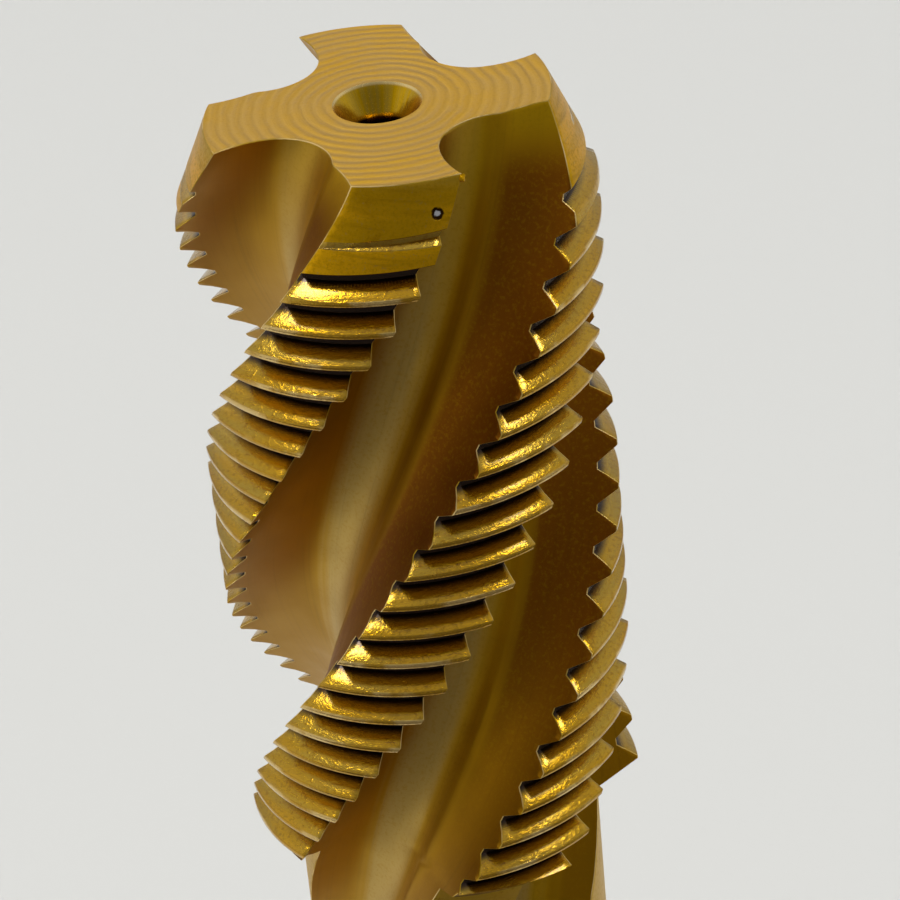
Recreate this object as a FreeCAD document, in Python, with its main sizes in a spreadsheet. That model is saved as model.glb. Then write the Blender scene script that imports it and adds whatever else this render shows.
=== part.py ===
import FreeCAD, Part
import math
import os

import Sketcher

# Spiral flute tap, metric 18 x 1.5, right hand, with four right-hand flutes, ground from one bar.
# The origin is the centre of the driving end, and +Z runs up the axis to the cutting tip.
# Azimuth 0 is +X. The flutes and the thread are timed from the tip face.

SIZES = [
    ("overall_length", 112.0, "driving end to tip face"),
    ("major_diameter", 18.0, "crest of the full thread"),
    ("thread_pitch", 1.5, "axial step of one turn"),
    ("thread_length", 37.0, "tip face to the bevel behind the thread"),
    ("thread_depth", 1.08, "crest to the bottom of the groove"),
    ("flank_angle", 60.0, "included angle of the groove"),
    ("groove_phase", 0.17, "first groove below the tip face at azimuth 0, in turns"),
    ("groove_overlap", 0.1, "reach of the groove's outline outside the crests"),
    ("lead_length", 3.8, "cutting chamfer at the tip"),
    ("tip_diameter", 15.0, "rim of the tip face"),
    ("bevel_angle", 45.0, "bevel behind the thread, measured from the axis"),
    ("shank_diameter", 14.0, "shank"),
    ("square_across", 11.2, "driving square across its flats"),
    ("square_length", 14.0, "driving square along the axis"),
    ("drive_chamfer", 0.8, "bevel round the driving end"),
    ("centre_diameter", 3.7, "rim of the centre holes"),
    ("centre_angle", 60.0, "included angle of the centre cones"),
    ("pilot_diameter", 1.7, "pilot below the centre cones"),
    ("pilot_depth", 4.2, "end face to the bottom of the pilot"),
    ("flute_count", 4.0, "number of flutes"),
    ("flute_lead", 75.3, "axial length of one full turn of a flute"),
    ("flute_length", 38.5, "tip face to where the flute starts to rise"),
    ("runout_length", 14.5, "axial length over which the flute rises out of the shank"),
    ("wheel_radius", 34.0, "radius of the rise at the end of the flute"),
    ("section_overlap", 0.7, "reach of the flute's section outside the crests"),
    ("lip_angle", 24.2, "azimuth of the section's cutting side at its reach"),
    ("heel_angle", 75.9, "azimuth of the section's heel side at its reach"),
    ("rake_radius", 4.34, "hollow of the cutting face"),
    ("rake_foot_x", 4.57, "lower end of the cutting face, from the axis"),
    ("rake_foot_y", 1.82, "lower end of the cutting face, from the axis"),
    ("bottom_radius", 2.53, "round bottom of the flute"),
    ("heel_foot_x", 2.54, "lower end of the heel side, from the axis"),
    ("heel_foot_y", 4.84, "lower end of the heel side, from the axis"),
    ("heel_radius", 6.45, "hollow of the heel side"),
]

FLUTE_STEPS = 21
SPARE_TURNS = 2
ORIGIN_POINT = (-1, 1)
VERTICAL_AXIS = -2
START, END = 1, 2
APEX_SPARE = 1.1

SHANK_RADIUS = "sizes.shank_diameter / 2"
CREST_RADIUS = "sizes.major_diameter / 2"
CENTRE_RADIUS = "sizes.centre_diameter / 2"
PILOT_RADIUS = "sizes.pilot_diameter / 2"
CONE_DEPTH = f"({CENTRE_RADIUS} - {PILOT_RADIUS}) / tan(sizes.centre_angle / 2)"
THREAD_END = "(sizes.overall_length - sizes.thread_length)"
BEVEL_RISE = f"({CREST_RADIUS} - {SHANK_RADIUS}) / tan(sizes.bevel_angle)"
GROOVE_TURNS = f"(ceil(sizes.thread_length / sizes.thread_pitch) + {SPARE_TURNS})"
GROOVE_START = f"(sizes.overall_length - ({GROOVE_TURNS} + sizes.groove_phase) * sizes.thread_pitch)"
GROOVE_ROOT = f"({CREST_RADIUS} - sizes.thread_depth)"
GROOVE_TOP = f"({CREST_RADIUS} + sizes.groove_overlap)"
FLUTE_TOP = "sizes.thread_pitch"
FLUTE_RUN = f"({FLUTE_TOP} + sizes.flute_length + sizes.runout_length)"
REACH = f"({CREST_RADIUS} + sizes.section_overlap)"
FLUTE_MIDDLE = "(sizes.lip_angle + sizes.heel_angle) / 2"


def make_sheet(doc):
    sheet = doc.addObject("Spreadsheet::Sheet", "sizes")
    for row, (alias, value, meaning) in enumerate(SIZES, start=1):
        sheet.set(f"A{row}", meaning)
        sheet.set(f"B{row}", str(value))
        sheet.setAlias(f"B{row}", alias)
    doc.recompute()
    return sheet


def evaluate(sheet, expression):
    return float(sheet.evalExpression(expression.replace("sizes.", "")))


def origin_feature(body, role):
    return next(item for item in body.Origin.OriginFeatures if item.Role == role)


def new_sketch(body, name, plane):
    sketch = body.newObject("Sketcher::SketchObject", name)
    sketch.AttachmentSupport = [(origin_feature(body, plane), "")]
    sketch.MapMode = "FlatFace"
    return sketch


def bind(sketch, constraint, expression):
    index = sketch.addConstraint(constraint)
    sketch.setExpression(f"Constraints[{index}]", expression)


def add_outline(sheet, sketch, corners, bulges=None):
    """Add a closed outline through the corners, each a pair of expressions from the sketch's origin.

    An edge with an entry in bulges is an arc of that radius, hollow side to the left of its run.
    """
    bulges = bulges or {}
    points = [FreeCAD.Vector(evaluate(sheet, x), evaluate(sheet, y), 0) for x, y in corners]
    count = len(corners)
    for i in range(count):
        first, last = points[i], points[(i + 1) % count]
        if i in bulges:
            edge = hollow_arc(first, last, evaluate(sheet, bulges[i]))
        else:
            edge = Part.LineSegment(first, last)
        sketch.addGeometry(edge, False)
    for i in range(count):
        sketch.addConstraint(Sketcher.Constraint("Coincident", i, END, (i + 1) % count, START))
    for i, (x, y) in enumerate(corners):
        if x == "0":
            sketch.addConstraint(Sketcher.Constraint("PointOnObject", i, START, VERTICAL_AXIS))
        else:
            bind(sketch, Sketcher.Constraint("DistanceX", *ORIGIN_POINT, i, START, points[i].x), x)
        bind(sketch, Sketcher.Constraint("DistanceY", *ORIGIN_POINT, i, START, points[i].y), y)
    for i, radius in bulges.items():
        bind(sketch, Sketcher.Constraint("Radius", i, evaluate(sheet, radius)), radius)


def hollow_arc(first, last, radius):
    """Return the arc from first to last whose centre lies to the left of its run."""
    chord = last - first
    left = FreeCAD.Vector(-chord.y, chord.x, 0).normalize()
    centre = (first + last) / 2 + left * math.sqrt(radius ** 2 - (chord.Length / 2) ** 2)
    return Part.Arc(first, centre - left * radius, last)


def make_blank(sheet, body):
    """Turn the bar: shank, bevel, threaded part, lead chamfer and a centre hole at each end.

    The outline stands in the middle of a flute where the thread ends, so that its seam splits no land.
    """
    top = "sizes.overall_length"
    sketch = new_sketch(body, "turned_outline", "XZ_Plane")
    sketch.AttachmentOffset = FreeCAD.Placement(FreeCAD.Vector(), FreeCAD.Rotation(FreeCAD.Vector(0, 1, 0), 1))
    seam = f"{FLUTE_MIDDLE} - 360 * sizes.thread_length / sizes.flute_lead"
    sketch.setExpression("AttachmentOffset.Rotation.Angle", seam)
    corners = [
        ("0", "sizes.pilot_depth"),
        (PILOT_RADIUS, "sizes.pilot_depth"),
        (PILOT_RADIUS, CONE_DEPTH),
        (CENTRE_RADIUS, "0"),
        (f"{SHANK_RADIUS} - sizes.drive_chamfer", "0"),
        (SHANK_RADIUS, "sizes.drive_chamfer"),
        (SHANK_RADIUS, f"{THREAD_END} - {BEVEL_RISE}"),
        (CREST_RADIUS, THREAD_END),
        (CREST_RADIUS, f"{top} - sizes.lead_length"),
        ("sizes.tip_diameter / 2", top),
        (CENTRE_RADIUS, top),
        (PILOT_RADIUS, f"{top} - {CONE_DEPTH}"),
        (PILOT_RADIUS, f"{top} - sizes.pilot_depth"),
        ("0", f"{top} - sizes.pilot_depth"),
    ]
    add_outline(sheet, sketch, corners)
    blank = body.newObject("PartDesign::Revolution", "turned_blank")
    blank.Profile = sketch
    blank.ReferenceAxis = (sketch, ["V_Axis"])
    blank.Angle = 360
    return blank


def make_square(sheet, body):
    """Mill the four driving flats. The square's corners stay round, as the shank was."""
    sketch = new_sketch(body, "square_outline", "XY_Plane")
    for index, half in enumerate(("sizes.square_across / 2", "sizes.shank_diameter")):
        add_rectangle(sheet, sketch, half, index * 4)
    square = body.newObject("PartDesign::Pocket", "driving_square")
    square.Profile = sketch
    square.Reversed = True
    square.setExpression("Length", "sizes.square_length")
    return square


def add_rectangle(sheet, sketch, half, base):
    reach = evaluate(sheet, half)
    signs = [(-1, -1), (1, -1), (1, 1), (-1, 1)]
    points = [FreeCAD.Vector(x * reach, y * reach, 0) for x, y in signs]
    for i in range(4):
        sketch.addGeometry(Part.LineSegment(points[i], points[(i + 1) % 4]), False)
    for i in range(4):
        after = base + (i + 1) % 4
        sketch.addConstraint(Sketcher.Constraint("Coincident", base + i, END, after, START))
    for i, (x, y) in enumerate(signs):
        across = Sketcher.Constraint("DistanceX", *ORIGIN_POINT, base + i, START, points[i].x)
        along = Sketcher.Constraint("DistanceY", *ORIGIN_POINT, base + i, START, points[i].y)
        bind(sketch, across, f"{x} * {half}")
        bind(sketch, along, f"{y} * {half}")


def make_flutes(sheet, body):
    """Cut one flute through sections that turn with the lead and lift out at the end, then repeat it."""
    sections = [make_flute_section(sheet, body, step) for step in range(FLUTE_STEPS + 1)]
    flute = body.newObject("PartDesign::SubtractiveLoft", "flute")
    flute.Profile = sections[0]
    flute.Sections = sections[1:]
    flute.Refine = False
    body.Document.recompute()
    pattern = body.newObject("PartDesign::PolarPattern", "flutes")
    pattern.Originals = [flute]
    pattern.Axis = (origin_feature(body, "Z_Axis"), [""])
    pattern.Angle = 360
    pattern.setExpression("Occurrences", "sizes.flute_count")
    pattern.Refine = False
    body.Tip = pattern
    return pattern


def make_flute_section(sheet, body, step):
    sketch = new_sketch(body, f"flute_section_{step}", "XY_Plane")
    apex = f"{REACH} / cos((sizes.heel_angle - sizes.lip_angle) / 2) * {APEX_SPARE}"
    corners = [
        (f"{REACH} * cos(sizes.lip_angle)", f"{REACH} * sin(sizes.lip_angle)"),
        (f"{apex} * cos({FLUTE_MIDDLE})", f"{apex} * sin({FLUTE_MIDDLE})"),
        (f"{REACH} * cos(sizes.heel_angle)", f"{REACH} * sin(sizes.heel_angle)"),
        ("sizes.heel_foot_x", "sizes.heel_foot_y"),
        ("sizes.rake_foot_x", "sizes.rake_foot_y"),
    ]
    bulges = {2: "sizes.heel_radius", 3: "sizes.bottom_radius", 4: "sizes.rake_radius"}
    add_outline(sheet, sketch, corners, bulges)
    below = f"({FLUTE_RUN} * {step} / {FLUTE_STEPS} - {FLUTE_TOP})"
    past = f"max(0; {below} - sizes.flute_length)"
    lift = f"(sizes.wheel_radius - sqrt(sizes.wheel_radius * sizes.wheel_radius - {past} * {past}))"
    turn = f"(-360 * {below} / sizes.flute_lead)"
    sketch.setExpression("AttachmentOffset.Base.x", f"{lift} * cos({turn} + {FLUTE_MIDDLE})")
    sketch.setExpression("AttachmentOffset.Base.y", f"{lift} * sin({turn} + {FLUTE_MIDDLE})")
    sketch.setExpression("AttachmentOffset.Base.z", f"sizes.overall_length - {below}")
    sketch.setExpression("AttachmentOffset.Rotation.Angle", turn)
    return sketch


def make_thread(sheet, body):
    """Cut the thread groove from below the back bevel up past the tip face."""
    sketch = new_sketch(body, "groove_outline", "XZ_Plane")
    half_width = f"({GROOVE_TOP} - {GROOVE_ROOT}) * tan(sizes.flank_angle / 2)"
    corners = [
        (GROOVE_ROOT, GROOVE_START),
        (GROOVE_TOP, f"{GROOVE_START} - {half_width}"),
        (GROOVE_TOP, f"{GROOVE_START} + {half_width}"),
    ]
    add_outline(sheet, sketch, corners)
    thread = body.newObject("PartDesign::SubtractiveHelix", "thread_groove")
    thread.Profile = sketch
    thread.ReferenceAxis = (sketch, ["V_Axis"])
    thread.Mode = "pitch-height-angle"
    thread.LeftHanded = False
    thread.Reversed = False
    thread.Refine = False
    thread.setExpression("Pitch", "sizes.thread_pitch")
    thread.setExpression("Height", f"sizes.overall_length + sizes.thread_pitch - {GROOVE_START}")
    return thread


def check(doc, bodies):
    for item in doc.Objects:
        if "Invalid" in item.State or "Error" in item.State:
            raise ValueError(f"{item.Name} failed: {item.State}")
    for body in bodies:
        if body.Shape.isNull() or not body.Shape.isValid():
            raise ValueError(f"{body.Label} has no valid shape")


def cut_volume(doc, feature, before):
    """Recompute, and stop if the feature took nothing away."""
    doc.recompute()
    volume = feature.Shape.Volume
    if volume >= before:
        raise ValueError(f"{feature.Name} cuts nothing")
    return volume


def make_tap(doc, sheet):
    body = doc.addObject("PartDesign::Body", "spiral_flute_tap")
    body.Label = "spiral_flute_tap"
    body.Placement = FreeCAD.Placement()
    blank = make_blank(sheet, body)
    doc.recompute()
    volume = blank.Shape.Volume
    for make in (make_square, make_thread, make_flutes):
        volume = cut_volume(doc, make(sheet, body), volume)
    return body


def main():
    doc = FreeCAD.newDocument("spiral_flute_tap")
    sheet = make_sheet(doc)
    bodies = [make_tap(doc, sheet)]
    check(doc, bodies)
    os.makedirs("parts", exist_ok=True)
    for body in bodies:
        body.Shape.exportStep(f"parts/{body.Label}.step")


main()
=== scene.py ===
import math

import bpy
import numpy as np
from bpy.props import FloatProperty, FloatVectorProperty, PointerProperty
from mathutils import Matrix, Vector
from mathutils.geometry import tessellate_polygon


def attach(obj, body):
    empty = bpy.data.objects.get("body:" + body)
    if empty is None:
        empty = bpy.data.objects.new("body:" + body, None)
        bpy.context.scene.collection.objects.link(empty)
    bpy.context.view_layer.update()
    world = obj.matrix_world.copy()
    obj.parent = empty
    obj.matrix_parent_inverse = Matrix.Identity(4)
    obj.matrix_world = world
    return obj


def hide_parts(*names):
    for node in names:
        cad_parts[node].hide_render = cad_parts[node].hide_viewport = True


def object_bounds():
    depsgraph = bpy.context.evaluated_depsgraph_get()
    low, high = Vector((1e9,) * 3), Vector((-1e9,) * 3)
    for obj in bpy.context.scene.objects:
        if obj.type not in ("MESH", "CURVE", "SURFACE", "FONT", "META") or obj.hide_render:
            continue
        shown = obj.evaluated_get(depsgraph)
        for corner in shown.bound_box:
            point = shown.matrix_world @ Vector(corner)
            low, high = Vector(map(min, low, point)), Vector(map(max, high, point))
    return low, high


bl_info = {
    "name": "Spiral flute tap",
    "version": (1, 0, 0),
    "blender": (4, 5, 0),
    "location": "3D View > Sidebar > Spiral tap",
    "description": "Builds a coated spiral flute tap with its ground thread, and a plain studio",
    "category": "Add Mesh",
}

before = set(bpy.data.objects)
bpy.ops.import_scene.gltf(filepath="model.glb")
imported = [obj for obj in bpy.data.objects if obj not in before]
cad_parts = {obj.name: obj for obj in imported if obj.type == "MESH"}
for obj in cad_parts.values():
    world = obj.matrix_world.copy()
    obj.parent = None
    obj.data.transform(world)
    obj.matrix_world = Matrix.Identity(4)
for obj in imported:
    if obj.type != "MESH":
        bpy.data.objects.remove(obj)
CAD_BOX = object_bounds()
CAD_LENGTH = CAD_BOX[1].z - CAD_BOX[0].z
CAD_RADIUS = CAD_BOX[1].x
TAP_NODE = "spiral_flute_tap"

MM = 0.001
DEG = math.pi / 180
QUARTERS = 4
SECTION_SAMPLES = 260
LAND_STEPS = 16
FLUTE_STEPS = 32
TOOTH_STEPS = 3
TOOTH_FOOT = 0.12 * MM
NECK_ROWS = 22
RIM_STEPS = (1, 5, 10, 16)
FIT_PASSES = 20
EDGE_PASSES = 5
CLOSING_PASSES = 60
HOLE_STEPS = 96
HOLE_ROWS = 6
SHANK_ROWS = 24
SQUARE_ROWS = 8
CHAMFER_ROWS = 6
SQUARE_FLAT_STEPS = 12
BURR_STEPS = 12
CENTRE_CONE = 30 * DEG
SHARP_ANGLE = 50 * DEG
WELD_STEP = 1e-8
NOISE_SPREAD = (0.3, 0.7)

# Lengths in millimetres, and the first groove's place in turns, that the shape and its finishes share.
CREST = CAD_RADIUS / MM
THREAD_DEPTH = 0.92
ROOT = CREST - THREAD_DEPTH
PITCH = 1.5
GROOVE_PHASE = 0.17
TIP_RADIUS = 7.5
LEAD_LENGTH = 3.8
CENTRE_RIM = 1.85
PILOT = 1.1
RING_STEP = 0.5
RING_WANDER = 0.6
CHATTER_STEP = 0.15
PIT_PLACE = (1.369, -7.835, 110.749)
BURR_PLACE = (2.53, -7.06, 111.77)
BURR_REACH = 0.17

FLOOR_SIZE = 3.0
CAMERA_PLACE = (-0.010102, -0.136936, 0.182642)
CAMERA_TURN = (57.2098, 4.6186, -7.8676)
# Each lamp's name, place, size and power.
LAMPS = (
    ("overhead", (0.0, 0.0, 0.9), (0.8, 0.8), 5.2),
    ("left", (-0.6, -0.3, 0.5), (0.4, 0.4), 1.2),
)
# Each patch of light's name, direction, half width in degrees and gain.
AIR_LOBES = (
    ("back_wall", (0.0, 1.0, 0.85), 45.0, 0.55),
    ("ceiling", (-0.1, 0.15, 1.0), 35.0, 0.15),
    ("window", (-0.38, 0.13, 0.91), 10.0, 13.0),
    ("far_window", (0.40, -0.03, 0.91), 8.0, 12.0),
    ("right_side", (1.0, 0.2, 0.3), 35.0, 0.2),
    ("left_side", (-1.0, 0.1, 0.2), 45.0, 0.3),
    ("dark_front", (0.1, -1.0, 0.1), 70.0, -0.22),
)
CARD_CORNERS = ((-0.38, -0.75), (0.45, -0.75), (0.45, -0.05), (-0.38, -0.03))

ZONES = ("end_face", "lead", "thread", "flute", "shank", "edge", "centre_hole")
END_FACE, LEAD, THREAD, FLUTE, SHANK, EDGE, CENTRE_HOLE = range(len(ZONES))


def length(name, description, millimetres):
    return FloatProperty(name=name, description=description, default=millimetres * MM, unit="LENGTH",
                         precision=5)


def angle(name, description, degrees):
    return FloatProperty(name=name, description=description, default=degrees * DEG, subtype="ANGLE")


def share(name, description, default):
    return FloatProperty(name=name, description=description, default=default, min=0.0, max=1.0,
                         subtype="FACTOR")


def colour(name, description, default):
    return FloatVectorProperty(name=name, description=description, default=default, size=3, min=0.0,
                               max=1.0, subtype="COLOR")


class TapSizes(bpy.types.PropertyGroup):
    """Sizes of the tap, measured from its tip face along the axis."""

    overall_length: length("Overall length", "Driving end to tip face", CAD_LENGTH / MM)
    crest_radius: length("Crest radius", "Radius of the full thread's crests", CREST)
    pitch: length("Pitch", "Axial step of one turn of the thread", PITCH)
    thread_depth: length("Thread depth", "Crest to the flat root", THREAD_DEPTH)
    tip_turn: angle("Tip turn", "Extra turn of the lands at the tip face, fading out along the lead", 1.3)
    root_flat: length("Root flat", "Axial width of the flat root", 0.24)
    groove_phase: FloatProperty(name="Groove phase", description="First groove below the tip, in turns",
                                default=GROOVE_PHASE)
    flank: angle("Flank", "Angle of each flank to the section across the axis", 30)
    thread_length: length("Thread length", "Tip face to the bevel behind the thread", 35.6)
    bevel: angle("Bevel", "Bevel behind the thread, measured from the axis", 70)
    lead_length: length("Lead length", "Length of the cutting chamfer", LEAD_LENGTH)
    tip_radius: length("Tip radius", "Radius of the cutting corners at the tip face", TIP_RADIUS)
    lead_relief: length("Lead relief", "Drop of the chamfer from its cutting edge to its heel", 0.34)
    shank_radius: length("Shank radius", "Radius of the shank", 7)
    centre_radius: length("Centre radius", "Rim of the centre holes", CENTRE_RIM)
    pilot_radius: length("Pilot radius", "Pilot below the centre cones", PILOT)
    pilot_depth: length("Pilot depth", "End face to the bottom of the pilot", 4.2)
    square_half: length("Square half", "Half of the driving square across its flats", 5.6)
    square_length: length("Square length", "Length of the driving square", 14)
    drive_chamfer: length("Drive chamfer", "Bevel round the driving end", 0.8)
    flute_lead: length("Flute lead", "Axial length of one full turn of a flute", 75.3)
    flute_length: length("Flute length", "Tip face to where the flute starts to rise", 38.5)
    wheel_radius: length("Wheel radius", "Radius of the rise at the end of the flute", 34)
    section_reach: length("Section reach", "How far out the flute's section is drawn", 9.7)
    lip_angle: angle("Lip angle", "Azimuth of the section's cutting side at its reach", 25.1)
    heel_angle: angle("Heel angle", "Azimuth of the section's heel side at its reach", 75.9)
    rake_radius: length("Rake radius", "Hollow of the cutting face", 4.34)
    bottom_radius: length("Bottom radius", "Round bottom of the flute", 2.53)
    heel_radius: length("Heel radius", "Hollow of the heel side", 6.45)
    rake_foot: FloatVectorProperty(name="Rake foot", description="Lower end of the cutting face",
                                   default=(4.54 * MM, 1.89 * MM), size=2, unit="LENGTH")
    heel_foot: FloatVectorProperty(name="Heel foot", description="Lower end of the heel side",
                                   default=(2.54 * MM, 4.84 * MM), size=2, unit="LENGTH")
    edge_width: length("Edge width", "Width of the honed edges", 0.035)


class CoatingLook(bpy.types.PropertyGroup):
    """Colours and finish of the nitride coating; some of the colours are painted shade, painted highlight
    and painted reflection.
    """

    gold: colour("Gold", "Coating where it is ground and bright", (0.55, 0.345, 0.03))
    pale: colour("Pale gold", "Turned end face", (0.56, 0.335, 0.06))
    amber: colour("Amber", "Lighter tone of the chamfer", (0.82, 0.43, 0.006))
    mustard: colour("Mustard", "Satin tone of the chamfer", (0.64, 0.35, 0.004))
    # Olive, pale gold, brown and russet make the flutes' painted reflections; brown and russet also serve
    # as grain tones elsewhere, olive as the centre holes' ground.
    olive: colour("Olive", "Middle tone of the flutes", (0.62, 0.355, 0.004))
    # Painted reflection laid along the bottom of the flutes.
    pale_reflection: colour("Milky gold", "Stripe along the bottom of the flutes", (0.56, 0.37, 0.09))
    brown: colour("Brown", "Cutting side of the flutes", (0.46, 0.24, 0.002))
    russet: colour("Russet", "Heel side of the flutes", (0.26, 0.085, 0.001))
    # Painted shade, near black, down in the thread's grooves and the pilots; also the flutes' dark grinding
    # lines and the ring round the pit.
    shade_and_marks: colour("Valley", "Bottom of the thread's grooves", (0.03, 0.012, 0.002))
    # Pale gold as a painted highlight: on the honed edges, in patches on the thread's crests and round the
    # centre holes' rims.
    edge: colour("Edge", "Coating worn thin on the edges", (0.88, 0.66, 0.28))
    steel: colour("Steel", "Bare steel in the pit", (0.80, 0.80, 0.82))
    satin: share("Satin", "Roughness of the turned faces", 0.40)
    bright: share("Bright", "Roughness of the ground thread", 0.15)
    polish: share("Polish", "Roughness of the flutes and the shank", 0.38)
    haze: share("Haze", "Weight of the pale haze over the flutes", 0.08)
    gloss: share("Gloss", "Weight of the clear gloss over the thread", 0.6)


class StudioLook(bpy.types.PropertyGroup):
    """Floor, lamps and camera."""

    floor: colour("Floor", "Colour of the floor", (0.52, 0.52, 0.50))
    card: colour("Card", "Colour of the card that darkens the flutes", (0.11, 0.10, 0.09))
    air: colour("Air", "Colour of the light all round", (1.0, 1.0, 1.0))
    air_strength: FloatProperty(name="Air strength", description="Light from all round", default=0.4)
    lens: FloatProperty(name="Lens", description="Focal length on a 36 mm sensor", default=148.22)


def arc_samples(first, last, radius, count):
    """Points from first to last on an arc whose centre lies to the right of its run."""
    first, last = np.array(first), np.array(last)
    chord = last - first
    span = np.hypot(*chord)
    right = np.array([chord[1], -chord[0]]) / span
    centre = (first + last) / 2 + right * math.sqrt(radius ** 2 - (span / 2) ** 2)
    start = math.atan2(*(first - centre)[::-1])
    sweep = math.atan2(*(last - centre)[::-1]) - start
    sweep = (sweep + math.pi) % (2 * math.pi) - math.pi
    turns = start + sweep * np.linspace(0, 1, count)
    return centre + radius * np.stack([np.cos(turns), np.sin(turns)], axis=1)


class FluteSection:
    """The flute's outline across the axis at the tip face, from its cutting side round to its heel side."""

    def __init__(self, size):
        lip = self.at_reach(size.section_reach, size.lip_angle)
        heel = self.at_reach(size.section_reach, size.heel_angle)
        rake = arc_samples(lip, size.rake_foot, size.rake_radius, SECTION_SAMPLES)
        bottom = arc_samples(size.rake_foot, size.heel_foot, size.bottom_radius, SECTION_SAMPLES)
        back = arc_samples(size.heel_foot, heel, size.heel_radius, SECTION_SAMPLES)
        self.points = np.concatenate([rake, bottom[1:], back[1:]])
        steps = np.hypot(*np.diff(self.points, axis=0).T)
        self.run = np.concatenate([[0], np.cumsum(steps)])
        middle = (size.lip_angle + size.heel_angle) / 2
        self.out = np.array([math.cos(middle), math.sin(middle)])
        self.size = size

    @staticmethod
    def at_reach(reach, azimuth):
        return reach * math.cos(azimuth), reach * math.sin(azimuth)

    def lift(self, z):
        """How far the section has risen out of the bar at height z."""
        past = np.maximum(0, -z - self.size.flute_length)
        wheel = self.size.wheel_radius
        return wheel - np.sqrt(wheel ** 2 - np.minimum(past, wheel) ** 2)

    def place(self, run, z):
        """Points of the section at these runs, risen as at height z, before it turns."""
        x = np.interp(run, self.run, self.points[:, 0])
        y = np.interp(run, self.run, self.points[:, 1])
        rise = self.lift(z)
        return x + rise * self.out[0], y + rise * self.out[1]

    def crossings(self, radius, z):
        """Runs at which the section meets a circle, on its cutting side and on its heel side."""
        radius, z = np.broadcast_arrays(np.asarray(radius, float), np.asarray(z, float))
        flat_radius, flat_z = radius.ravel()[:, None], z.ravel()[:, None]
        rise = self.lift(flat_z)
        reach = np.hypot(self.points[:, 0] + rise * self.out[0], self.points[:, 1] + rise * self.out[1])
        gap = reach - flat_radius
        inside = gap <= 0
        rows = np.arange(len(flat_radius))
        open_rows = inside.any(axis=1)
        first = np.where(open_rows, inside.argmax(axis=1), gap.argmin(axis=1))
        last = np.where(open_rows, gap.shape[1] - 1 - inside[:, ::-1].argmax(axis=1), gap.argmin(axis=1))
        lip = self.between(gap, rows, np.maximum(first - 1, 0), first, open_rows)
        heel = self.between(gap, rows, np.minimum(last + 1, gap.shape[1] - 1), last, open_rows)
        return lip.reshape(radius.shape), heel.reshape(radius.shape)

    def between(self, gap, rows, outer, inner, open_rows):
        high, low = gap[rows, outer], gap[rows, inner]
        part = np.where(open_rows & (high > low), high / np.where(high > low, high - low, 1), 1)
        return self.run[outer] + (self.run[inner] - self.run[outer]) * part

    def azimuth(self, run, z):
        x, y = self.place(run, z)
        return np.arctan2(y, x)


def thread_rows(size):
    """One row for each corner of the thread's groove, from above the tip down past the bevel.

    Returns, for each row, the groove's centre on the helix, the side of it, and how far the row stands
    from that centre: a share of the groove's half width at the surface, and a length to add.
    """
    half_root = size.root_flat / 2
    hone = size.edge_width / 2
    upper = [(0, size.pitch / 2), (1, hone), (1, -hone), (0.5, half_root / 2), (0, half_root)]
    kinds = [(1, part, extra) for part, extra in upper]
    kinds += [(-1, part, extra) for part, extra in upper[:0:-1]]
    turns = math.ceil(bevel_end(size) / size.pitch) + 3
    centres = -(np.arange(-1, turns - 1) + size.groove_phase) * size.pitch
    rows = [(centre, *kind) for centre in centres for kind in kinds]
    return np.array(rows), len(kinds)


def bevel_end(size):
    return size.thread_length + (size.crest_radius - size.shank_radius) / math.tan(size.bevel)


def outer_radius(size, z, across):
    """Radius of the turned form at height z, with across running from a land's heel, 0, to its edge, 1."""
    slope = (size.crest_radius - size.tip_radius) / size.lead_length
    lead = size.tip_radius - size.lead_relief * (1 - across) - slope * z
    back = size.crest_radius + (z + size.thread_length) * math.tan(size.bevel)
    back = np.maximum(back, size.shank_radius)
    return np.minimum(np.minimum(lead, back), size.crest_radius)


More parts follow.
